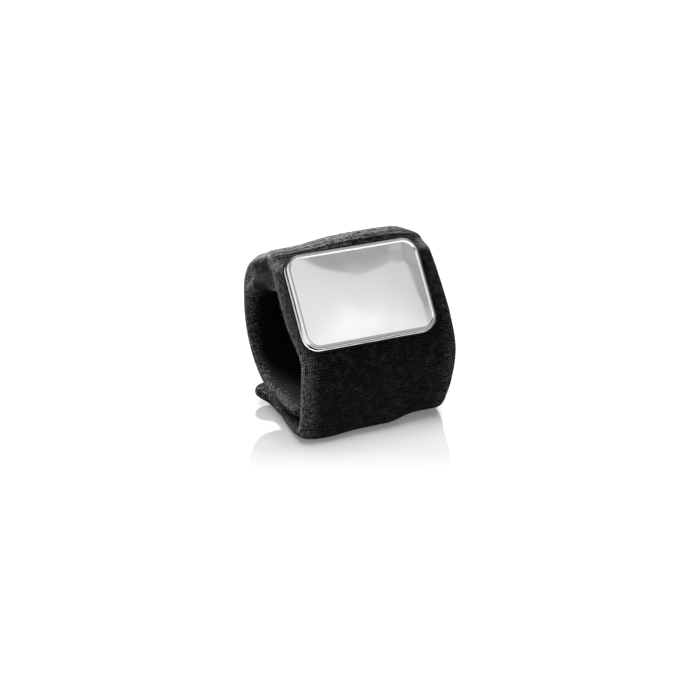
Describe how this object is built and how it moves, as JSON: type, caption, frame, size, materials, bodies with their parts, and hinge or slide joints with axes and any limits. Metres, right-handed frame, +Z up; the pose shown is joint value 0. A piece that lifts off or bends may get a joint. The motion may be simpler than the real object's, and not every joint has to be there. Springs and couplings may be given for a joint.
{
  "type": "magnetic wristband",
  "caption": "Padded knit wrist cuff with a hook-and-loop overlap and a slanted polished steel plate over magnets that holds pins, screws and other small steel parts.",
  "frame": {"origin": "Bottom centre of the bounding box, on the surface that the cuff stands on", "axes": "+Z up, +X across the strip along the wrist, -Y towards the front with the steel plate"},
  "size_m": [0.064, 0.0576, 0.0691],
  "materials": {
    "knit": "black fine-ribbed knit with a soft fuzz, ribs running across the strip",
    "foam": "dark grey closed-cell foam",
    "hook": "black woven tape with rows of stiff nylon hooks",
    "loop": "black napped loop tape",
    "polished_steel": "pressed stainless steel, polished, with a brighter rolled edge",
    "black_plastic": "moulded black plastic, satin",
    "magnet": "nickel-plated magnet discs",
    "zinc_steel": "zinc-plated steel"
  },
  "bodies": {
    "flap": {"flap_sleeve": "knit", "flap_foam": "foam", "hook_tape": "hook"},
    "cuff": {"knit_sleeve": "knit", "foam_core": "foam", "loop_tape": "loop", "cover_plate": "polished_steel", "magnet_tray": "black_plastic", "magnet_1": "magnet", "magnet_2": "magnet", "magnet_3": "magnet", "magnet_4": "magnet", "magnet_5": "magnet", "magnet_6": "magnet", "backing_plate": "zinc_steel", "rivet_1": "zinc_steel", "rivet_2": "zinc_steel", "rivet_3": "zinc_steel", "rivet_4": "zinc_steel"}
  },
  "joints": [
    {"name": "overlap_opening", "type": "hinge", "parent": "flap", "child": "cuff", "pos_m": [0, -0.02639, 0.0024], "axis": [1, 0, 0], "range_deg": [0, 90]}
  ]
}
